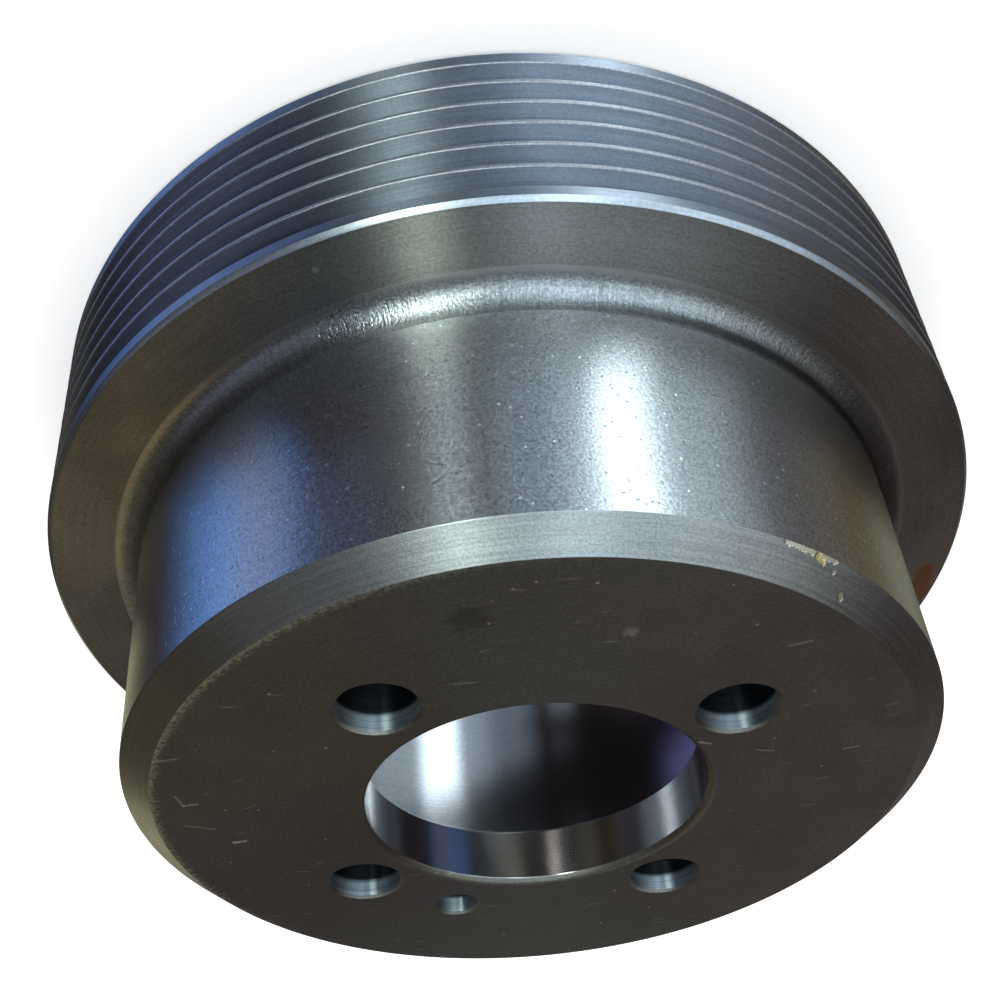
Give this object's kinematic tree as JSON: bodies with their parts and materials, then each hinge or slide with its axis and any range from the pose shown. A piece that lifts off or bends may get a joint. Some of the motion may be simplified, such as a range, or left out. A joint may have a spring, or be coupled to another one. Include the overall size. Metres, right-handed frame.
{
  "type": "water pump pulley",
  "caption": "Turned steel water pump pulley: a grooved belt rim, a smooth hollow hub and a bevelled mounting plate with a pilot bore, bolt holes and a dowel hole.",
  "frame": {"origin": "centre of the rim's back face, on the pulley's axis, which is the lowest plane of the part as it stands", "axes": "+Z along the pulley's axis, from the open back of the belt rim to the mounting plate's front face; the bolt holes lie at 45 degrees to +X and +Y"},
  "size_m": [0.111, 0.111, 0.0564],
  "materials": {
    "turned_steel": "bare steel, turned all over, satin, with a thin dark film on the flat face and a few small nicks"
  },
  "bodies": {
    "root": {"pulley": "turned_steel"}
  },
  "joints": []
}
